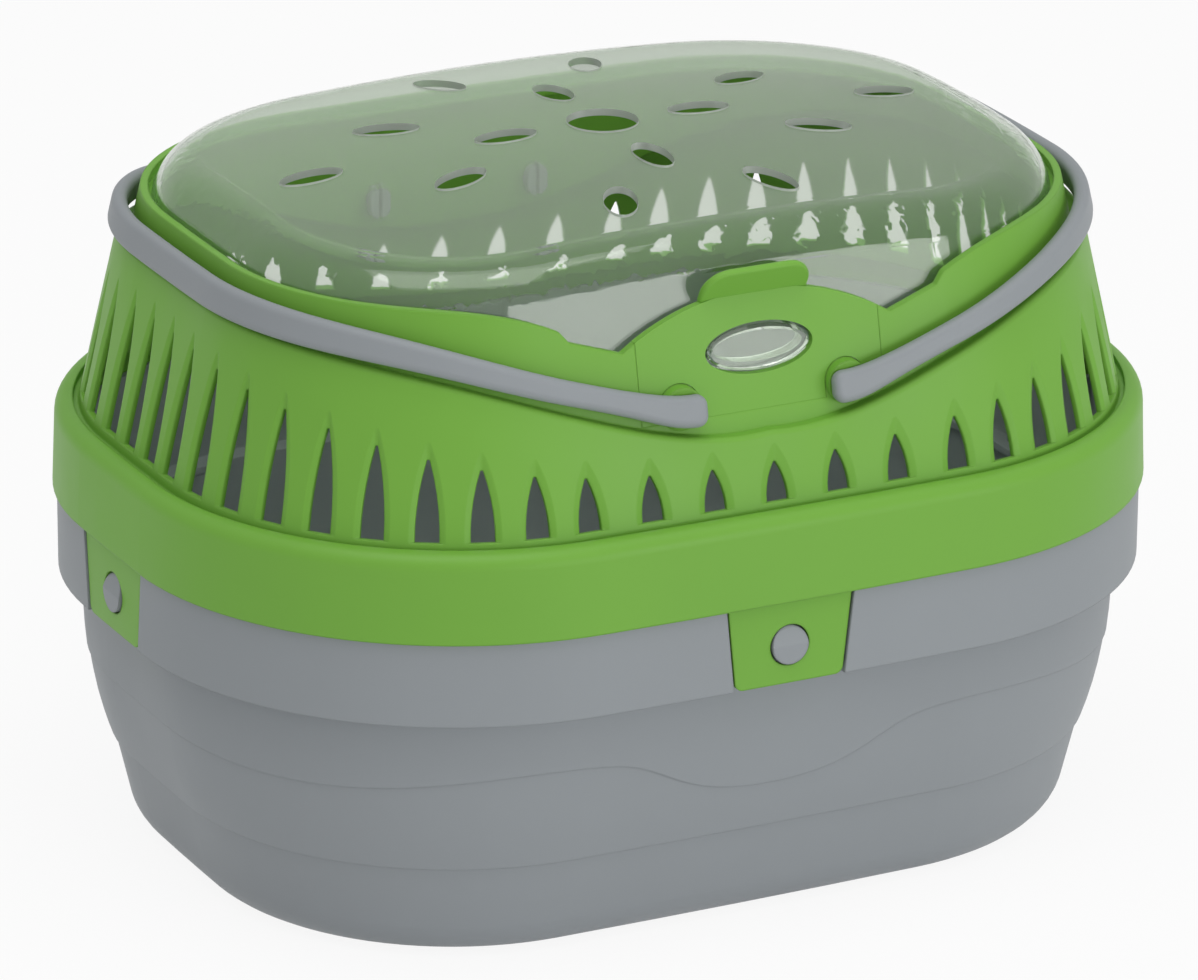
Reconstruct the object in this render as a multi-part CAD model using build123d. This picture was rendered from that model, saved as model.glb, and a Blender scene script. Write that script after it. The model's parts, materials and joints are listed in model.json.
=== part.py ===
from build123d import *
import math
import os

# ---------------------------------------------------------------- driving sizes, mm
# Origin: middle of the underside. +X along the length, -Y is the front, +Z up.
length = 300.0              # over the lower lip of the rim
width = 231.0
corner_radius = 96.0        # plan corners of the rim and the tub
wall_corner_radius = 93.5   # of the slotted wall and all above it, set in to the rim's edge
side_bow = 2600.0           # radius of the bowed long sides
end_bow = 1200.0            # radius of the bowed ends
wall = 2.2                  # every coloured moulding
seat_gap = 0.3              # play between mouldings that are fitted by hand

# tub
tub_foot_end = 22.1         # how far the foot stands in from the rim, at the ends
tub_foot_side = 23.5        # and at the long sides
tub_foot_lean = 6.8         # how much the foot widens up to the step
tub_foot_fillet = 12.2
step_height = 29.0          # the small step above the foot
step_depth = 1.4
belly_end = 7.4             # the body under the collar, in from the rim
belly_side = 8.9
collar_bottom = 76.1
collar_height = 23.9
collar_top = collar_bottom + collar_height
collar_inset = 1.2
collar_wall = 3.2
spigot_height = 11.5        # upstand of the tub inside the rim of the shell
spigot_wall = 1.8
wave_depth = 0.5            # skin left out below the wavy line round the belly
wave_top = 57.6
wave_dip = 14.2             # how far the line dips in the middle of the long sides

# tongues of the shell, one over a stud on each side of the tub
tongue_top_width = 37.4
tongue_bottom_width = 32.4
tongue_corner = 2.5
tongue_inset = 1.6
tongue_gap = 0.6            # beside the tongue
pocket_depth = 5.2          # recess behind the tongue, in from the rim
pocket_wall = 2.2
stud_radius = 5.4
stud_play = 0.5
stud_height = collar_bottom + 11.0
stud_face = 0.8             # face of the stud, in from the rim
stud_ramp = 1.6             # how much the upper half falls back

# slotted shell
rim_height = 24.9
rim_top = collar_top + rim_height
rim_draft = 1.0
rim_shoulder = 4.5
groove_outer = 6.0
groove_depth = 1.8
wall_base_inset = 7.0       # inset of the slotted wall at wall_base_height
wall_base_height = rim_top - 7.5
wall_lean = 0.226           # inward lean of wall, neck and latch plates, mm per mm
neck_step = 3.8             # neck set in from the slotted wall
shoulder_round = 1.6
lid_ledge = 3.0

slot_bottom = rim_top + 1.0
slot_width = 6.6
slot_share_side = 0.386     # slot tops as a share of the way from slot_bottom to the pivots
slot_share_end = 1.32
slot_flare = 2.0
slot_flare_rise = 5.0
slot_flare_depth = 0.8
side_pitch = 18.6
side_slots = 3              # each way from the middle slot of a long side
corner_slots = 8
end_pitch = 13.0

# heights above the slots, all set from the pivots of the handles
pivot_height = rim_top + 28.3
shoulder_share = 0.6875     # shoulder over the middle slot, as a share of the way to the pivots
neck_top = pivot_height + 32.2
lid_top = neck_top + 16.5

# latch plate in the front of the neck
latch_half = 36.5
latch_gap = 0.08
latch_drop = 3.5            # bending line below the pivots
latch_flex = pivot_height - latch_drop
latch_arc_top = pivot_height + 27.8
latch_arc_radius = 75.6
finger_width = 32.5
finger_reach = 10.8
finger_angle = 28.0         # how far the lip leans out from the upright
finger_thick = 2.2
finger_round = 7.5
finger_edge = 0.9
boss_half_length = 15.4
boss_half_height = 6.0
boss_play = 0.8
boss_height = pivot_height + 12.4
boss_proud = 0.3
boss_bevel = 0.8

# lid
lid_wall = 2.0
lid_side_gap = 1.4
lid_crown_length = 1043.0   # crown radius along the length
lid_crown_width = 552.0
lid_edge_radius = 15.0
lid_tongue_half = 17.8
lid_tongue_corner = 4.0
lid_tongue_bottom = boss_height - 8.0
lid_overlap = 3.0           # how far the lid reaches down inside the neck
hole_radius = 10.0
oval_half_length = 9.2
oval_half_width = 4.7
lid_ring_x = 29.7           # places of the ovals, each repeated in every quarter
lid_ring_y = 30.4
lid_far_x = 88.3
lid_inner_x = 54.8
lid_inner_y = 23.6
lid_outer_x = 22.8
lid_outer_y = 56.2

# carrying handles
pivot_x = 25.0
handle_thick = 4.6
handle_half_height = 4.4
handle_standoff = 1.6
handle_end_standoff = 2.6
handle_end_reach = 5.9
handle_end_corner = 3.0
handle_edge = 2.0
pin_radius = 2.8
pin_play = 0.08
pin_head_height = 9.0
pin_head_width = 6.2
pin_head_length = 2.6
pin_slit = 0.9               # slit that lets the snap head close
pad_radius = 6.0
pad_proud = 1.5             # flat face of the pad, out from the neck at the pivot

half_length = length / 2
half_width = width / 2
big = 400.0


# ---------------------------------------------------------------- outlines
class Outline:
    """Plan outline of tangent arcs, set in from the rim."""

    def __init__(self, inset_end, inset_side=None, corner=corner_radius):
        inset_side = inset_end if inset_side is None else inset_side
        self.a = half_length - inset_end
        self.b = half_width - inset_side
        self.r = corner - (inset_end + inset_side) / 2
        self.side = side_bow - inset_side
        self.end = end_bow - inset_end
        side_centre = Vector(0, self.side - self.b)
        end_centre = Vector(self.a - self.end, 0)
        gap = end_centre - side_centre
        reach_side = self.side - self.r
        reach_end = self.end - self.r
        along = (reach_side**2 - reach_end**2 + gap.length**2) / (2 * gap.length)
        across = math.sqrt(reach_side**2 - along**2)
        unit = gap / gap.length
        normal = Vector(-unit.Y, unit.X)
        first = side_centre + unit * along + normal * across
        second = side_centre + unit * along - normal * across
        self.corner = first if first.X - first.Y > second.X - second.Y else second
        to_side = self.corner - side_centre
        to_end = self.corner - end_centre
        self.side_angle = math.atan2(to_side.Y, to_side.X)
        self.end_angle = math.atan2(to_end.Y, to_end.X)

    def at(self, s):
        """Point and outward direction at arc length s from the front middle to the right end."""
        side_turn = self.side_angle + math.pi / 2
        side_run = self.side * side_turn
        corner_run = self.r * (self.end_angle - self.side_angle)
        if s <= side_run:
            angle = -math.pi / 2 + s / self.side
            centre = Vector(0, self.side - self.b)
            radius = self.side
        elif s <= side_run + corner_run:
            angle = self.side_angle + (s - side_run) / self.r
            centre = self.corner
            radius = self.r
        else:
            angle = self.end_angle + (s - side_run - corner_run) / self.end
            centre = Vector(self.a - self.end, 0)
            radius = self.end
        out = Vector(math.cos(angle), math.sin(angle))
        return centre + out * radius, out

    def quarter_length(self):
        side_run = self.side * (self.side_angle + math.pi / 2)
        corner_run = self.r * (self.end_angle - self.side_angle)
        return side_run + corner_run - self.end * self.end_angle

    def wire(self, z):
        side_run = self.side * (self.side_angle + math.pi / 2)
        corner_run = self.r * (self.end_angle - self.side_angle)
        first = self.at(side_run)[0]
        middle = self.at(side_run + corner_run / 2)[0]
        last = self.at(side_run + corner_run)[0]
        front = Vector(0, -self.b)
        right = Vector(self.a, 0)

        def place(point, sx, sy):
            return Vector(point.X * sx, point.Y * sy, z)

        def arc(p, psx, psy, q, qsx, qsy, e, esx, esy):
            return Edge.make_three_point_arc(place(p, psx, psy), place(q, qsx, qsy), place(e, esx, esy))

        edges = [
            arc(first, -1, 1, front, 1, 1, first, 1, 1),
            arc(first, 1, 1, middle, 1, 1, last, 1, 1),
            arc(last, 1, 1, right, 1, 1, last, 1, -1),
            arc(last, 1, -1, middle, 1, -1, first, 1, -1),
            arc(first, 1, -1, front, 1, -1, first, -1, -1),
            arc(first, -1, -1, middle, -1, -1, last, -1, -1),
            arc(last, -1, -1, right, -1, 1, last, -1, 1),
            arc(last, -1, 1, middle, -1, 1, first, -1, 1),
        ]
        return Wire(edges)


def block(levels, ruled=True, corner=corner_radius):
    """Solid through outlines: (height, inset at the ends, inset at the sides)."""
    wires = [Outline(end, side, corner).wire(z) for z, end, side in levels]
    return Solid.make_loft(wires, ruled)


def upright(z0, z1, inset):
    return block([(z0, inset, inset), (z1, inset, inset)])


def leaning(z0, z1, extra):
    """Solid whose faces lean like the slotted wall, set in by a further distance."""
    levels = [(z, wall_inset(z) + extra, wall_inset(z) + extra) for z in (z0, z1)]
    return block(levels, corner=wall_corner_radius)


def wall_inset(z):
    return wall_base_inset + wall_lean * (z - wall_base_height)


def through_depth(half_face):
    """A face drawn over the right half of the length, run through the depth and mirrored."""
    half = extrude(Plane.XZ * half_face, big / 2, both=True)
    return half + mirror(half, Plane.YZ)


def under_line(points, floor):
    """Everything below a smooth line over the length, right through the depth."""
    first = points[0]
    last = points[-1]
    line = Spline(points) + Line(last, (last[0], floor)) + Line((last[0], floor), (first[0], floor))
    return through_depth(make_face(line + Line((first[0], floor), first)))


# ---------------------------------------------------------------- lines drawn on the shell
def shoulder_points():
    """Top of the slotted wall, from the middle of the front to past the end."""
    low = slot_bottom + shoulder_share * (pivot_height - slot_bottom)
    rises = [(0, 0), (0.167, 1.5), (0.333, 8.6), (0.56, 20.2), (0.8, 28.2), (1.07, 32.8)]
    return [(share * half_length, low + rise) for share, rise in rises]


def latch_arc_height(x):
    return latch_arc_top - latch_arc_radius + math.sqrt(latch_arc_radius**2 - x**2)


def lip_face(drop):
    """Half profile under the lip of the neck: latch arc, V corner, step and rising line."""
    corner_x = latch_half + 3.9
    corner = (corner_x, latch_arc_height(corner_x) - drop)
    start = (0, latch_arc_top - drop)
    middle = (corner_x / 2, latch_arc_height(corner_x / 2) - drop)
    before_step = (corner_x + 14.9, corner[1] + 4.8)
    after_step = (corner_x + 17.5, corner[1] + 8.0)
    rise = [after_step]
    for share, below in [(0.56, 1.1), (0.707, 0.2), (0.827, 0), (1.07, 0)]:
        rise.append((share * half_length, neck_top - below - drop))
    line = ThreePointArc(start, middle, corner) + Line(corner, before_step)
    line += Line(before_step, after_step) + Spline(rise)
    floor = collar_top
    line += Line(rise[-1], (rise[-1][0], floor)) + Line((rise[-1][0], floor), (0, floor))
    line += Line((0, floor), start)
    return make_face(line)


def under_lip(drop):
    """Everything under the lip of the neck: shaped in front, level behind."""
    front = through_depth(lip_face(drop)) & upright_box(-big, big, -big, 0, 0, big)
    return front + upright_box(-big, big, 0, big, collar_top, neck_top - drop)


def upright_box(x0, x1, y0, y1, z0, z1):
    middle = ((x0 + x1) / 2, (y0 + y1) / 2, (z0 + z1) / 2)
    return Pos(*middle) * Box(x1 - x0, y1 - y0, z1 - z0)


# ---------------------------------------------------------------- tongues and their pockets
def tongue_outline(grow):
    """Trapezoid of a tongue, seen from outside, in its own width and height."""
    top = tongue_top_width / 2 + grow
    bottom = tongue_bottom_width / 2 + grow
    low = collar_bottom - grow
    high = collar_top + spigot_height + 1
    lean = (top - bottom) / (collar_top - collar_bottom)
    top_here = bottom + lean * (high - low)
    corners = [(-bottom, low), (bottom, low), (top_here, high), (-top_here, high)]
    return make_face(Polyline(*corners, close=True))


def tongue_sides():
    """Turn about Z and distance from the middle of each tongue: front, right, rear, left."""
    return {"front": 0, "right": 90, "rear": 180, "left": 270}


def trapezoid_prism(grow, rounded=0.0):
    face = tongue_outline(grow)
    if rounded:
        low = face.vertices().sort_by(Axis.Y)[:2]
        face = fillet(low, rounded)
    return extrude(Plane.XZ * face, big / 2)


def rim_ring(z0, z1, outer_inset, inner_inset):
    return upright(z0, z1, outer_inset) - upright(z0, z1, inner_inset)


def edge_distance(turn):
    return half_length if turn in (90, 270) else half_width


# ---------------------------------------------------------------- lower tub
def below_wave():
    """Everything of the belly under the wavy line: level, with a dip in the middle of the sides."""
    dip = [(0, 1), (8, 0.98), (22, 0.78), (30, 0.53), (41, 0.16), (53, 0), (80, 0), (half_length + 10, 0)]
    return under_line([(x, wave_top - wave_dip * share) for x, share in dip], step_height)


def lower_tub():
    top_end = tub_foot_end - tub_foot_lean
    top_side = tub_foot_side - tub_foot_lean
    foot = [(0, tub_foot_end, tub_foot_side), (step_height, top_end, top_side)]
    low_end = top_end - step_depth
    low_side = top_side - step_depth

    def belly(share):
        """Inset of the body at a share of the way down from the collar."""
        curve = share**2.6
        end = belly_end + (low_end - belly_end) * curve
        side = belly_side + (low_side - belly_side) * curve
        return end, side

    height = collar_bottom - step_height
    body = [(collar_bottom - height * share, *belly(share)) for share in (1.0, 0.75, 0.5, 0.25, 0.0)]

    def shrink(levels, depth):
        return [(z, end + depth, side + depth) for z, end, side in levels]

    foot_solid = block(foot)
    foot_solid = foot_solid.fillet(tub_foot_fillet, foot_solid.edges().group_by(Axis.Z)[0])
    outer = foot_solid + block(body, ruled=False) + upright(collar_bottom, collar_top, collar_inset)
    spigot = rim_ring(collar_top, collar_top + spigot_height, wall + 0.4, wall + 0.4 + spigot_wall)
    foot_inside = [(wall, *foot[0][1:]), (step_height + 0.01, *foot[1][1:])]
    foot_inner = block(shrink(foot_inside, wall))
    foot_inner = foot_inner.fillet(tub_foot_fillet - wall, foot_inner.edges().group_by(Axis.Z)[0])
    body_inner = block(shrink(body, wall), ruled=False)
    collar_inner = upright(collar_bottom + wall, collar_top + spigot_height, collar_inset + collar_wall)
    neck_of_body = upright(collar_bottom - 0.5, collar_bottom + wall + 0.5, belly_side + wall)
    skin = block(body, ruled=False) - block(shrink(body, wave_depth), ruled=False)
    outer = outer - (skin & below_wave())
    tub = outer - foot_inner - body_inner - neck_of_body - collar_inner + spigot
    pocket_top = collar_top + spigot_height
    pad_start = collar_inset + collar_wall - 0.2
    pad_ring = rim_ring(collar_bottom, pocket_top, pad_start, pocket_depth + pocket_wall)
    recess_ring = rim_ring(collar_bottom - 1, pocket_top + 1, -2.0, pocket_depth)
    stud_ring = upright(collar_bottom, collar_top, stud_face)
    for turn in tongue_sides().values():
        turned = Rot(0, 0, turn)
        pad = pad_ring & (turned * trapezoid_prism(tongue_gap + pocket_wall))
        recess = recess_ring & (turned * trapezoid_prism(tongue_gap))
        tub = tub + pad - recess
        reach = edge_distance(turn)
        stud = Rot(90, 0, 0) * Cylinder(stud_radius, pocket_depth + 2)
        stud = Pos(0, -reach + pocket_depth / 2 + 1, stud_height) * stud
        face = Plane.YZ * make_face(Polyline(
            (-reach - 5, stud_height),
            (-reach + stud_face, stud_height),
            (-reach + stud_face + stud_ramp, stud_height + stud_radius + 0.1),
            (-reach - 5, stud_height + stud_radius + 0.1),
            close=True,
        ))
        ramp = extrude(face, big / 4, both=True)
        tub = tub + ((turned * (stud - ramp)) & stud_ring)
    return tub


# ---------------------------------------------------------------- tongues
def tongue(turn):
    ring = rim_ring(collar_bottom, collar_top - 0.35, tongue_inset, tongue_inset + wall)
    plate = ring & (Rot(0, 0, turn) * trapezoid_prism(0, tongue_corner))
    hole = Pos(0, -edge_distance(turn), stud_height) * Rot(90, 0, 0) * Cylinder(stud_radius + stud_play, 20)
    return plate - Rot(0, 0, turn) * hole


# ---------------------------------------------------------------- slots of the shell
def slot_level():
    """Outline of the slotted wall at the bottom of the slots."""
    inset = wall_inset(slot_bottom)
    return Outline(inset, inset, wall_corner_radius)


def slot_positions():
    """Arc lengths of the slots in one quarter, from the middle of a long side."""
    quarter = slot_level().quarter_length()
    side = [i * side_pitch for i in range(side_slots + 1)]
    end = [quarter - end_pitch * 1.5, quarter - end_pitch / 2]
    step = (end[0] - side[-1]) / (corner_slots + 1)
    corner = [side[-1] + step * (i + 1) for i in range(corner_slots)]
    return side + corner + end, quarter


def slot_top(s, quarter):
    rise = math.sin(math.pi / 2 * s / quarter) ** 2
    share = slot_share_side + (slot_share_end - slot_share_side) * rise**1.1
    return slot_bottom + share * (pivot_height - slot_bottom)


def pointed(half, height, grow, rise, level):
    """Pointed slot outline with bowed sides, at a level above its own plane."""
    tip = height + rise
    base = half + grow
    bulge = 0.8 * base
    tip_half = 0.35

    def corner(x, y):
        return Vector(x, y, level)

    left = Edge.make_three_point_arc(corner(-base, 0), corner(-bulge, tip / 2), corner(-tip_half, tip))
    right = Edge.make_three_point_arc(corner(tip_half, tip), corner(bulge, tip / 2), corner(base, 0))
    top = Edge.make_line(corner(-tip_half, tip), corner(tip_half, tip))
    bottom = Edge.make_line(corner(base, 0), corner(-base, 0))
    return Wire([left, top, right, bottom])


def slot_tool(s, quarter):
    height = (slot_top(s, quarter) - slot_bottom) * math.sqrt(1 + wall_lean**2)
    point, out = slot_level().at(s)
    normal = Vector(out.X, out.Y, wall_lean).normalized()
    along = Vector(-out.Y, out.X, 0)
    plane = Plane(origin=(point.X, point.Y, slot_bottom), x_dir=along, z_dir=normal)
    half = slot_width / 2
    flare = Solid.make_loft([
        pointed(half, height, slot_flare * 1.15, slot_flare_rise * 1.15, slot_flare_depth * 0.15),
        pointed(half, height, 0, 0, -slot_flare_depth),
    ], True)
    through = Solid.extrude(Face(pointed(half, height, 0, 0, -slot_flare_depth)), Vector(0, 0, -4 * wall))
    return plane * (flare + through)


def slot_tools():
    positions, quarter = slot_positions()
    tools = []
    for s in positions:
        tool = slot_tool(s, quarter)
        tools.append(tool)
        tools.append(mirror(tool, Plane.XZ))
        if s > 0:
            tools.append(mirror(tool, Plane.YZ))
            tools.append(mirror(mirror(tool, Plane.YZ), Plane.XZ))
    return tools


# ---------------------------------------------------------------- upper shell
def latch_window(grow):
    """Prism in the front half: the latch plate seen from the front, less the pivot pads."""
    low = latch_flex - 2 * grow
    half = latch_half + grow
    plate = upright_box(-half, half, -big, 0, low, latch_arc_top + 20)
    notch = pad_radius + seat_gap - 2 * grow
    for x in (-pivot_x, pivot_x):
        pad = Pos(x, -big / 2, pivot_height) * Rot(90, 0, 0) * Cylinder(notch, big)
        stem = upright_box(x - notch, x + notch, -big, 0, low - 1, pivot_height)
        plate = plate - pad - stem
    return plate


def neck_face(z):
    """Distance of the neck's outer face from the middle, front or rear, at a height."""
    return half_width - wall_inset(z) - neck_step


def neck_plane(x, z, extra):
    """Plane on the front of the neck, its normal pointing outwards."""
    y = -(half_width - wall_inset(z) - extra)
    return Plane(origin=(x, y, z), x_dir=(1, 0, 0), z_dir=(0, -1, wall_lean))


def upper_shell():
    inner = wall + neck_step
    rim = block([(collar_top, 0, 0), (rim_top, rim_draft, rim_draft)])
    rim = rim.fillet(rim_shoulder, rim.edges().group_by(Axis.Z)[-1])
    below_shoulder = under_line(shoulder_points(), collar_top)
    below_inside = under_line([(x, z - wall) for x, z in shoulder_points()], collar_top - 10)
    wall_foot = rim_top - groove_depth
    slotted = leaning(wall_foot - 4, neck_top + 8, 0) & below_shoulder
    slotted = Solid(slotted.solids()[0].wrapped)
    crest = [edge for edge in slotted.edges() if edge.bounding_box().min.Z > slot_bottom]
    slotted = slotted.fillet(shoulder_round, crest)
    neck = leaning(latch_flex - 12, neck_top + 8, neck_step) & under_lip(0)
    groove = rim_ring(wall_foot, rim_top + 5, groove_outer, groove_outer + 6)
    rim_inside = upright(collar_top - 1, wall_foot - wall, wall)
    slotted_inside = leaning(collar_top - 1, neck_top + 8, wall) & below_inside
    neck_inside = leaning(latch_flex - 18, neck_top + 9, inner)
    shell = (rim - groove) + slotted + neck
    shell = shell - rim_inside - slotted_inside - neck_inside
    shell = shell - slot_tools()
    ledge_ring = leaning(latch_flex, neck_top, inner - 0.3) - leaning(latch_flex, neck_top, inner + lid_ledge)
    drop = lid_overlap + seat_gap
    ledge = (ledge_ring & under_lip(drop)) - under_lip(drop + 1.6)
    keep_clear = upright_box(-latch_half - 4.5, latch_half + 4.5, -big, 0, 0, big)
    shell = shell + (ledge - keep_clear)
    window = latch_window(latch_gap)
    low = latch_flex - 4
    ring = leaning(low, neck_top + 5, neck_step - 1) - leaning(low, neck_top + 5, inner + 4)
    shell = shell - (ring & window)
    for x in (-pivot_x, pivot_x):
        for flip in (False, True):
            axis = Plane((x, 0, pivot_height), z_dir=(0, -1, 0))
            pad = extrude(axis * Circle(pad_radius), neck_face(pivot_height) + pad_proud)
            pad = pad - leaning(pivot_height - 15, pivot_height + 15, inner)
            hole = extrude(axis * Circle(pin_radius + pin_play), big)
            if flip:
                pad = mirror(pad, Plane.XZ)
                hole = mirror(hole, Plane.XZ)
            shell = shell + pad - hole
    return shell


# ---------------------------------------------------------------- latch plate
def latch_plate():
    """Latch plate: oval hole for the lid's boss, finger lip along its top."""
    inner = wall + neck_step
    ring = leaning(latch_flex - 2, neck_top + 5, neck_step) - leaning(latch_flex - 2, neck_top + 5, inner)
    plate = (ring & latch_window(0)) & through_depth(lip_face(0))
    return plate - oval_prism(boss_play) + finger_lip()


def oval_prism(grow):
    """Oval of the boss run from the middle of the keeper out through the front."""
    oval = Ellipse(boss_half_length + grow, boss_half_height + grow)
    return extrude(Plane((0, 0, boss_height), x_dir=(1, 0, 0), z_dir=(0, -1, 0)) * oval, big)


def finger_lip():
    """Round-cornered lip standing out from the top of the latch plate."""
    root = neck_plane(0, latch_arc_top - finger_thick, neck_step + wall).origin
    angle = math.radians(finger_angle)
    plane = Plane(origin=root, x_dir=(1, 0, 0), z_dir=(0, -math.cos(angle), -math.sin(angle)))
    outline = Rectangle(finger_width, finger_reach, align=(Align.CENTER, Align.MIN))
    outline = fillet(outline.vertices().sort_by(Axis.Y)[2:], finger_round)
    lip = Solid(extrude(plane * outline, finger_thick / 2, both=True).solids()[0].wrapped)
    return lip.fillet(finger_edge, lip.edges())


# ---------------------------------------------------------------- lid
def crown(depth):
    """Everything under the crowned top of the lid, bowed along the length and the width."""
    top = lid_top - depth
    edge = top - lid_crown_width + math.sqrt(lid_crown_width**2 - half_width**2)
    arc = ThreePointArc((-half_width, edge), (0, top), (half_width, edge))
    corners = [(half_width, edge), (half_width, latch_flex), (-half_width, latch_flex), (-half_width, edge)]
    sides = Polyline(*corners)
    face = Plane.YZ * make_face(arc + sides)
    centre = Pos(0, 0, lid_top - lid_crown_length)
    sweep = 2.2 * math.degrees(half_length / lid_crown_length)
    turned = revolve(centre.inverse() * face, Axis.Y, sweep)
    return centre * Rot(0, -sweep / 2, 0) * turned


def lid_block(depth):
    """The lid as a filled block, its faces set in by a depth."""
    body = leaning(lid_tongue_bottom - 8, lid_top + 4, wall + neck_step + lid_side_gap + depth)
    capped = body & crown(depth)
    capped = Solid(capped.solids()[0].wrapped)
    return capped.fillet(lid_edge_radius - depth, capped.edges().group_by(Axis.Z)[-1])


def lid_boss():
    """Oval boss on the front of the lid, and the hollow behind it."""
    low = boss_height - boss_half_height - 5
    high = boss_height + boss_half_height + 5
    face = leaning(low, high, neck_step - boss_proud)
    behind = leaning(low, high, wall + neck_step + lid_side_gap + lid_wall / 2)
    boss = Solid((oval_prism(0) & face).solids()[0].wrapped)
    boss = boss.chamfer(boss_bevel, None, boss.faces().sort_by(Axis.Y)[0].edges())
    hollow = oval_prism(-lid_wall) & leaning(low, high, neck_step - boss_proud + lid_wall)
    return boss - behind, hollow


def lid_holes():
    """Round hole in the middle of the top, ovals that point at it around."""
    places = [(lid_ring_x, 0), (0, lid_ring_y), (lid_far_x, 0)]
    places += [(lid_inner_x, lid_inner_y), (lid_outer_x, lid_outer_y)]
    tools = [Cylinder(hole_radius, 2 * big)]
    for x, y in places:
        for sx in (-1, 1):
            for sy in (-1, 1):
                if (x == 0 and sx < 0) or (y == 0 and sy < 0):
                    continue
                turn = math.degrees(math.atan2(sy * y, sx * x))
                oval = extrude(Ellipse(oval_half_length, oval_half_width), big)
                tools.append(Pos(sx * x, sy * y, 0) * Rot(0, 0, turn) * oval)
    return tools


def clear_lid():
    below = under_lip(lid_overlap)
    tongue_face = Rectangle(2 * lid_tongue_half, big / 2, align=(Align.CENTER, Align.MIN))
    tongue_face = fillet(tongue_face.vertices().sort_by(Axis.Y)[:2], lid_tongue_corner)
    tongue_plane = Plane((0, 0, lid_tongue_bottom), x_dir=(1, 0, 0), z_dir=(0, -1, 0))
    lid = lid_block(0) - lid_block(lid_wall) - (below - extrude(tongue_plane * tongue_face, big))
    lid = lid - upright_box(-big, big, -big, big, 0, lid_tongue_bottom)
    boss, hollow = lid_boss()
    return lid + boss - hollow - lid_holes()


# ---------------------------------------------------------------- handles
def handle_line():
    """Middle of the handle over the length, from the pivot to past the end, and half its height."""
    reach = half_length - pivot_x
    run = [(-handle_end_reach / reach, 0, 0.98), (0, 0, 0.98), (0.104, 3.1, 0.84), (0.328, 11.9, 0.8)]
    run += [(0.616, 22.2, 0.91), (0.76, 24.9, 0.98), (0.896, 26.6, 1)]
    return [(pivot_x + share * reach, pivot_height + z, handle_half_height * full) for share, z, full in run]


def handle_right():
    """Bail around the right end, folded down, with a snap pin at each pivot."""
    line = handle_line()
    upper = Spline([(x, z + half) for x, z, half in line])
    lower = Spline([(x, z - half) for x, z, half in line])
    tip = Line(lower @ 0, upper @ 0)
    strip = make_face(upper + lower + tip + Line(lower @ 1, upper @ 1))
    strip = fillet(strip.vertices().sort_by(Axis.X)[:2], handle_end_corner)
    shape = extrude(Plane.XZ * strip, big / 2, both=True)
    outer = handle_standoff + handle_thick
    outer_end = handle_end_standoff + handle_thick
    heights = (pivot_height - 12, line[-1][1] + 12)
    outside = [(z, wall_inset(z) + neck_step - outer_end, wall_inset(z) + neck_step - outer) for z in heights]
    inside = [
        (z, wall_inset(z) + neck_step - handle_end_standoff, wall_inset(z) + neck_step - handle_standoff)
        for z in heights
    ]
    bail = (block(outside, corner=wall_corner_radius) - block(inside, corner=wall_corner_radius)) & shape
    bail = bail & upright_box(0, big, -big, big, 0, big)
    bail = Solid(bail.solids()[0].wrapped)
    bail = bail.fillet(handle_edge, [edge for edge in bail.edges() if edge.length > 3 * handle_half_height])
    face_y = neck_face(pivot_height)
    head_start = face_y - wall - wall_lean * pin_head_height / 2 - seat_gap
    pin_length = face_y + handle_standoff + handle_thick / 2 - head_start + pin_head_length / 2
    pin = Cylinder(pin_radius, pin_length)
    head_face = RectangleRounded(pin_head_width, pin_head_height, pin_head_width * 0.45)
    head = extrude(head_face, pin_head_length / 2, both=True)
    slit = Box(pin_slit, pin_head_height + 1, pin_head_length * 2)
    relief = extrude(Plane.XZ * Circle(pad_radius + 2 * seat_gap), face_y + pad_proud + seat_gap, both=True)
    bail = bail - Pos(pivot_x, 0, pivot_height) * relief
    for side in (-1, 1):
        pin_middle = side * (head_start - pin_head_length / 2 + pin_length / 2)
        head_middle = side * (head_start - pin_head_length / 2)
        bail = bail + Pos(pivot_x, pin_middle, pivot_height) * Rot(90, 0, 0) * pin
        bail = bail + Pos(pivot_x, head_middle, pivot_height) * Rot(90, 0, 0) * head
        slit_middle = side * (head_start - pin_head_length)
        bail = bail - Pos(pivot_x, slit_middle, pivot_height) * Rot(90, 0, 0) * slit
    return bail


# ---------------------------------------------------------------- the parts
def main():
    os.makedirs("parts", exist_ok=True)
    right = handle_right()
    nodes = {
        "lower_tub": lower_tub(),
        "upper_shell": upper_shell(),
        "clear_lid": clear_lid(),
        "handle_right": right,
        "handle_left": mirror(right, Plane.YZ),
        "latch_plate": latch_plate(),
    }
    for name, turn in tongue_sides().items():
        nodes["tongue_" + name] = tongue(turn)
    for name, shape in nodes.items():
        export_step(shape, "parts/" + name + ".step")


main()
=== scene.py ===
import json
import math

import bmesh
import bpy
from mathutils import Matrix, Vector

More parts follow.
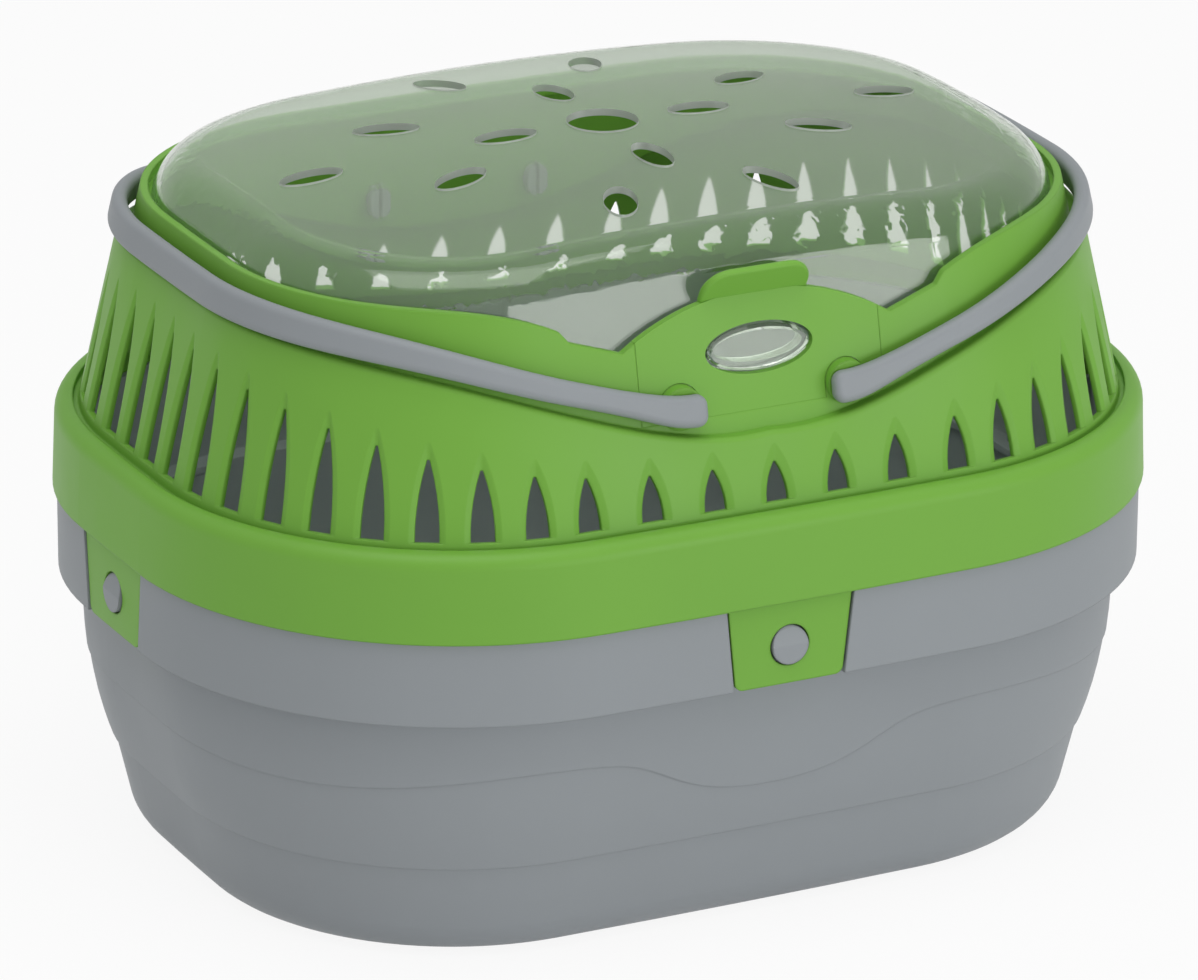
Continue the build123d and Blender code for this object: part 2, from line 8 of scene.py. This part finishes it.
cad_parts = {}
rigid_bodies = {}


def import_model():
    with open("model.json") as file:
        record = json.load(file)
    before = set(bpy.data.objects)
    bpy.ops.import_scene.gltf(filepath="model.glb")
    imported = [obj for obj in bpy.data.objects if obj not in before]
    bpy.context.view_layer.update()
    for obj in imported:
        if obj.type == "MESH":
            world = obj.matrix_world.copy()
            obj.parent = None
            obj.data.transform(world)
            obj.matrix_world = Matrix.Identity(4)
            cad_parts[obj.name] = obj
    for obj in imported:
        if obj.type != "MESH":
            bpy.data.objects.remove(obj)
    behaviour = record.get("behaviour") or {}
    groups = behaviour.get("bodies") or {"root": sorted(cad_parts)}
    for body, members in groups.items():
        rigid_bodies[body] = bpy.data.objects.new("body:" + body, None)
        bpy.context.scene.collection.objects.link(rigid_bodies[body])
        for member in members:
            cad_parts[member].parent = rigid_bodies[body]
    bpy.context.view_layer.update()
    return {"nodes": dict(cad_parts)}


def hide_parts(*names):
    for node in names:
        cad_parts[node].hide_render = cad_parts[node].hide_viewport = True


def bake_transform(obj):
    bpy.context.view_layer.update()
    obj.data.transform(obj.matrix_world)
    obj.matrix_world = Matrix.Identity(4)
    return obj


# Camera: angles in degrees, lengths in metres, image measures in pixels, sensor in millimetres.
CAMERA_ANGLES = (-26.85, 20.88, 0.44)
CAMERA_DISTANCE = 2.25
CAMERA_AIM = (0, 0, 0.0827)
CAMERA_CLIP = (0.05, 60)
SENSOR_WIDTH = 36
IMAGE_WIDTH = 1198
FOCAL_LENGTH = 8012.7
IMAGE_SHIFT = (-0.3, 33.7)

# Plastics: linear colours, and roughness from the lowest to the highest.
LIME = (0.17, 0.41, 0.047)
LIME_GLOSS = (0.42, 0.52)
LIME_DRIFT = 0.10
GREY = (0.287, 0.31, 0.328)
GREY_GLOSS = (0.46, 0.56)
GREY_DRIFT = 0.08
MOULDED_IOR = 1.49
MOULDED_SPECULAR = 0.35
CLEAR = (0.9, 0.955, 0.88)
CLEAR_ROUGHNESS = 0.03
CLEAR_IOR = 1.5
HAZE = (0.6, 0.85, 0.53)
HAZE_SHARE = 0.05
FROST = (0.62, 0.65, 0.62)
FROST_ROUGHNESS = 0.35
FROST_TRANSMISSION = 0.35

# Skin of the mouldings: scale and detail of two noises, the range of the first one that the
# gloss follows, the strength of the orange peel, and its depth and the edges' radius in metres.
CLOUD_NOISE = (22, 4)
SPECK_NOISE = (420, 2)
CLOUD_MIDDLE = 0.5
CLOUD_RANGE = (0.35, 0.65)
PEEL_STRENGTH = 0.06
PEEL_DEPTH = 0.0002
EDGE_RADIUS = 0.0009
EDGE_SAMPLES = 6

# Air holes of the lid: half the field that they lie in and the height that they start above, in
# metres, and the most that the normal of a hole's wall leans up or down.
HOLE_FIELD = (0.1, 0.07)
HOLE_FLOOR = 0.187
HOLE_WALL_LEAN = 0.4

# Root of the latch plate, in metres: the band that holds its lowest edge, and the edge's drop.
ROOT_BAND = 0.0001
ROOT_DROP = 0.00014

# Studio: lengths in metres, power in watts. THROUGH_SHARE is the share of the white background
# that shows through clear plastic.
WHITE = (1, 1, 1)
DOME_LIGHT = 0.54
DOME_RISE = (0.25, 0.9)
DOME_GLOSS = 0.8
THROUGH_SHARE = 0.55
FIRST_BOUNCE = 0.5
FLOOR_HALF = 6
FLOOR_COLOR = (0.88, 0.88, 0.88)
FLOOR_ROUGHNESS = 0.9
FLOOR_LIT_SHARE = 0.9
BOX_DISTANCE = 1.8
BOX_AIM = (0, 0, 0.1)

for leftover in list(bpy.data.objects):
    bpy.data.objects.remove(leftover, do_unlink=True)

bpy.context.scene.view_settings.view_transform = "Standard"

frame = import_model()
nodes = frame["nodes"]


def new_object(name, data):
    obj = bpy.data.objects.new(name, data)
    bpy.context.scene.collection.objects.link(obj)
    return obj


# ---------------------------------------------------------------- camera
def place_camera():
    turn, tilt, roll = (math.radians(angle) for angle in CAMERA_ANGLES)
    flat = math.cos(tilt)
    back = Vector((math.sin(turn) * flat, -math.cos(turn) * flat, math.sin(tilt)))
    level = Vector((math.cos(turn), math.sin(turn), 0))
    rise = back.cross(level)
    right = level * math.cos(roll) + rise * math.sin(roll)
    up = rise * math.cos(roll) - level * math.sin(roll)
    facing = Matrix((right, up, back)).transposed().to_4x4()
    lens = bpy.data.cameras.new("view_lens")
    lens.sensor_width = SENSOR_WIDTH
    lens.lens = SENSOR_WIDTH * FOCAL_LENGTH / IMAGE_WIDTH
    lens.shift_x = IMAGE_SHIFT[0] / IMAGE_WIDTH
    lens.shift_y = IMAGE_SHIFT[1] / IMAGE_WIDTH
    lens.clip_start, lens.clip_end = CAMERA_CLIP
    camera = new_object("view_camera", lens)
    place = Vector(CAMERA_AIM) + back * CAMERA_DISTANCE
    camera.matrix_world = Matrix.Translation(place) @ facing
    bpy.context.scene.camera = camera


# ---------------------------------------------------------------- shader helpers
def new_material(name):
    """A material, its tree, and the Principled shader on its output."""
    material = bpy.data.materials.new(name)
    material.use_nodes = True
    tree = material.node_tree
    tree.nodes.clear()
    output = tree.nodes.new("ShaderNodeOutputMaterial")
    shader = tree.nodes.new("ShaderNodeBsdfPrincipled")
    tree.links.new(shader.outputs["BSDF"], output.inputs["Surface"])
    return material, tree, shader


def mix_shaders(tree, first, second, share):
    """Mixes two shaders by a number or by a node's output."""
    mix = tree.nodes.new("ShaderNodeMixShader")
    if isinstance(share, (int, float)):
        mix.inputs["Fac"].default_value = share
    else:
        tree.links.new(share, mix.inputs["Fac"])
    tree.links.new(first, mix.inputs[1])
    tree.links.new(second, mix.inputs[2])
    return mix.outputs["Shader"]


def show(tree, surface):
    """Puts a shader on the output of its material or world."""
    output = next(node for node in tree.nodes if "Surface" in node.inputs)
    tree.links.new(surface, output.inputs["Surface"])


def moulded_skin_group():
    """Slight colour drift, gloss drift and fine orange peel of injection-moulded plastic."""
    group = bpy.data.node_groups.new("Moulded Skin", "ShaderNodeTree")
    sockets = (
        ("Color", "INPUT", "NodeSocketColor"),
        ("Drift", "INPUT", "NodeSocketFloat"),
        ("Gloss Low", "INPUT", "NodeSocketFloat"),
        ("Gloss High", "INPUT", "NodeSocketFloat"),
        ("Color", "OUTPUT", "NodeSocketColor"),
        ("Roughness", "OUTPUT", "NodeSocketFloat"),
        ("Height", "OUTPUT", "NodeSocketFloat"),
    )
    for name, side, kind in sockets:
        group.interface.new_socket(name, in_out=side, socket_type=kind)
    add = group.nodes.new
    link = group.links.new
    inputs = add("NodeGroupInput")
    outputs = add("NodeGroupOutput")
    place = add("ShaderNodeTexCoord")

    def noise(measure):
        node = add("ShaderNodeTexNoise")
        node.inputs["Scale"].default_value, node.inputs["Detail"].default_value = measure
        link(place.outputs["Object"], node.inputs["Vector"])
        return node.outputs["Fac"]

    cloud = noise(CLOUD_NOISE)
    link(noise(SPECK_NOISE), outputs.inputs["Height"])

    centred = add("ShaderNodeMath")
    centred.operation = "SUBTRACT"
    centred.inputs[1].default_value = CLOUD_MIDDLE
    link(cloud, centred.inputs[0])
    brightness = add("ShaderNodeMath")
    brightness.operation = "MULTIPLY_ADD"
    brightness.inputs[2].default_value = 1
    link(centred.outputs[0], brightness.inputs[0])
    link(inputs.outputs["Drift"], brightness.inputs[1])
    tint = add("ShaderNodeHueSaturation")
    link(inputs.outputs["Color"], tint.inputs["Color"])
    link(brightness.outputs[0], tint.inputs["Value"])
    link(tint.outputs["Color"], outputs.inputs["Color"])

    gloss = add("ShaderNodeMapRange")
    gloss.inputs["From Min"].default_value = CLOUD_RANGE[0]
    gloss.inputs["From Max"].default_value = CLOUD_RANGE[1]
    link(cloud, gloss.inputs["Value"])
    link(inputs.outputs["Gloss Low"], gloss.inputs["To Min"])
    link(inputs.outputs["Gloss High"], gloss.inputs["To Max"])
    link(gloss.outputs["Result"], outputs.inputs["Roughness"])
    return group


# ---------------------------------------------------------------- plastics
def moulded_plastic(name, skin, color, gloss, drift, edge_radius=0):
    """Opaque plastic with the moulded skin, and with rounded edges where a radius is given."""
    material, tree, shader = new_material(name)
    part = tree.nodes.new("ShaderNodeGroup")
    part.node_tree = skin
    part.inputs["Color"].default_value = (*color, 1)
    part.inputs["Drift"].default_value = drift
    part.inputs["Gloss Low"].default_value = gloss[0]
    part.inputs["Gloss High"].default_value = gloss[1]
    bump = tree.nodes.new("ShaderNodeBump")
    bump.inputs["Strength"].default_value = PEEL_STRENGTH
    bump.inputs["Distance"].default_value = PEEL_DEPTH
    if edge_radius:
        soft_edge = tree.nodes.new("ShaderNodeBevel")
        soft_edge.samples = EDGE_SAMPLES
        soft_edge.inputs["Radius"].default_value = edge_radius
        tree.links.new(soft_edge.outputs["Normal"], bump.inputs["Normal"])
    tree.links.new(part.outputs["Color"], shader.inputs["Base Color"])
    tree.links.new(part.outputs["Roughness"], shader.inputs["Roughness"])
    tree.links.new(part.outputs["Height"], bump.inputs["Height"])
    tree.links.new(bump.outputs["Normal"], shader.inputs["Normal"])
    shader.inputs["IOR"].default_value = MOULDED_IOR
    shader.inputs["Specular IOR Level"].default_value = MOULDED_SPECULAR
    return material


def clear_plastic(name):
    """Tinted clear plastic with a little haze, whose own shadow is light."""
    material, tree, shader = new_material(name)
    shader.inputs["Base Color"].default_value = (*CLEAR, 1)
    shader.inputs["Transmission Weight"].default_value = 1
    shader.inputs["Roughness"].default_value = CLEAR_ROUGHNESS
    shader.inputs["IOR"].default_value = CLEAR_IOR
    haze = tree.nodes.new("ShaderNodeBsdfDiffuse")
    haze.inputs["Color"].default_value = (*HAZE, 1)
    light_shade = tree.nodes.new("ShaderNodeBsdfTransparent")
    light_shade.inputs["Color"].default_value = (*CLEAR, 1)
    path = tree.nodes.new("ShaderNodeLightPath")
    in_shadow = path.outputs["Is Shadow Ray"]
    milky = mix_shaders(tree, shader.outputs["BSDF"], haze.outputs["BSDF"], HAZE_SHARE)
    show(tree, mix_shaders(tree, milky, light_shade.outputs["BSDF"], in_shadow))
    return material


def frosted_plastic(name):
    material, tree, shader = new_material(name)
    shader.inputs["Base Color"].default_value = (*FROST, 1)
    shader.inputs["Transmission Weight"].default_value = FROST_TRANSMISSION
    shader.inputs["Roughness"].default_value = FROST_ROUGHNESS
    shader.inputs["IOR"].default_value = CLEAR_IOR
    return material


def dress(obj, material):
    obj.data.materials.clear()
    obj.data.materials.append(material)


def cut_edges(lid, material):
    """The walls of the air holes scatter light, so they get a finish of their own."""
    lid.data.materials.append(material)
    for face in lid.data.polygons:
        middle = face.center
        inside = abs(middle.x) < HOLE_FIELD[0] and abs(middle.y) < HOLE_FIELD[1]
        if inside and abs(face.normal.z) < HOLE_WALL_LEAN and middle.z > HOLE_FLOOR:
            face.material_index = 1


# ---------------------------------------------------------------- latch plate
def close_hinge_line(plate):
    """The latch plate grows out of the shell: a copy that keeps its lower edge there stands for it."""
    mesh = plate.data.copy()
    copy = new_object("latch_plate_skin", mesh)
    edit = bmesh.new()
    edit.from_mesh(mesh)
    low = min(vertex.co.z for vertex in edit.verts)
    edge = [vertex for vertex in edit.verts if vertex.co.z < low + ROOT_BAND]
    bmesh.ops.translate(edit, verts=edge, vec=(0, 0, -ROOT_DROP))
    edit.to_mesh(mesh)
    edit.free()
    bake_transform(copy)
    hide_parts("latch_plate")


# ---------------------------------------------------------------- studio
def seen_directly(tree, glossy_share=1):
    """1 for rays from the eye, less for gloss and clear plastic, 0 after a matt surface."""
    path = tree.nodes.new("ShaderNodeLightPath")

    def step(operation, first, second):
        node = tree.nodes.new("ShaderNodeMath")
        node.operation = operation
        for socket, value in zip(node.inputs, (first, second)):
            if isinstance(value, (int, float)):
                socket.default_value = value
            else:
                tree.links.new(value, socket)
        return node.outputs[0]

    passed = path.outputs["Is Transmission Ray"]
    glossy = step("SUBTRACT", path.outputs["Is Glossy Ray"], passed)
    glossy = step("MULTIPLY", glossy, glossy_share)
    through = step("MULTIPLY", passed, THROUGH_SHARE)
    seen = step("MAXIMUM", path.outputs["Is Camera Ray"], through)
    seen = step("MAXIMUM", seen, glossy)
    unscattered = step("LESS_THAN", path.outputs["Diffuse Depth"], FIRST_BOUNCE)
    return step("MULTIPLY", seen, unscattered)


def background(tree, strength):
    light = tree.nodes.new("ShaderNodeBackground")
    light.inputs["Color"].default_value = (*WHITE, 1)
    light.inputs["Strength"].default_value = strength
    return light.outputs["Background"]


def studio_world():
    """Soft dome, white where it is looked at. What gloss reflects of it whitens with height."""
    world = bpy.data.worlds.new("studio_world")
    bpy.context.scene.world = world
    world.use_nodes = True
    tree = world.node_tree
    tree.nodes.clear()
    tree.nodes.new("ShaderNodeOutputWorld")
    place = tree.nodes.new("ShaderNodeTexCoord")
    split = tree.nodes.new("ShaderNodeSeparateXYZ")
    rise = tree.nodes.new("ShaderNodeMapRange")
    rise.inputs["From Min"].default_value = DOME_RISE[0]
    rise.inputs["From Max"].default_value = DOME_RISE[1]
    rise.inputs["To Max"].default_value = DOME_GLOSS
    tree.links.new(place.outputs["Generated"], split.inputs["Vector"])
    tree.links.new(split.outputs["Z"], rise.inputs["Value"])
    seen = seen_directly(tree, rise.outputs["Result"])
    show(tree, mix_shaders(tree, background(tree, DOME_LIGHT), background(tree, 1), seen))


def studio_floor():
    """Pale floor that keeps a soft shadow and reads as white where it is looked at."""
    ground = bmesh.new()
    bmesh.ops.create_grid(ground, x_segments=1, y_segments=1, size=FLOOR_HALF)
    mesh = bpy.data.meshes.new("studio_floor")
    ground.to_mesh(mesh)
    ground.free()
    floor = new_object("studio_floor", mesh)
    material, tree, paper = new_material("floor_paper")
    paper.inputs["Base Color"].default_value = (*FLOOR_COLOR, 1)
    paper.inputs["Roughness"].default_value = FLOOR_ROUGHNESS
    paper.inputs["Specular IOR Level"].default_value = 0
    seen = seen_directly(tree)
    glow = tree.nodes.new("ShaderNodeEmission")
    glow.inputs["Color"].default_value = (*WHITE, 1)
    tree.links.new(seen, glow.inputs["Strength"])
    plain = paper.outputs["BSDF"]
    lit = mix_shaders(tree, plain, glow.outputs["Emission"], FLOOR_LIT_SHARE)
    show(tree, mix_shaders(tree, plain, lit, seen))
    dress(floor, material)


def softbox(name, direction, size, watts):
    """Rectangular lamp that lights the object from a direction."""
    lamp = bpy.data.lights.new(name, "AREA")
    lamp.shape = "RECTANGLE"
    lamp.size, lamp.size_y = size
    lamp.energy = watts
    obj = new_object(name, lamp)
    away = Vector(direction).normalized()
    obj.location = Vector(BOX_AIM) + away * BOX_DISTANCE
    obj.rotation_mode = "QUATERNION"
    obj.rotation_quaternion = away.to_track_quat("Z", "Y")


place_camera()

skin = moulded_skin_group()
lime = moulded_plastic("lime_moulded_plastic", skin, LIME, LIME_GLOSS, LIME_DRIFT, EDGE_RADIUS)
latch_lime = moulded_plastic("lime_latch_plastic", skin, LIME, LIME_GLOSS, LIME_DRIFT)
grey = moulded_plastic("grey_moulded_plastic", skin, GREY, GREY_GLOSS, GREY_DRIFT, EDGE_RADIUS)
finish_of = {
    "lower_tub": grey,
    "handle_left": grey,
    "handle_right": grey,
    "clear_lid": clear_plastic("clear_polished_plastic"),
    "latch_plate": latch_lime,
}
for name, node in nodes.items():
    dress(node, finish_of.get(name, lime))
cut_edges(nodes["clear_lid"], frosted_plastic("lid_hole_edge"))
close_hinge_line(nodes["latch_plate"])

studio_world()
studio_floor()
softbox("key_box", (0.317, -0.948, 0.125), (1.27, 0.55), 7.4)
softbox("top_box", (-0.1, -0.25, 1), (1.6, 1.2), 12)
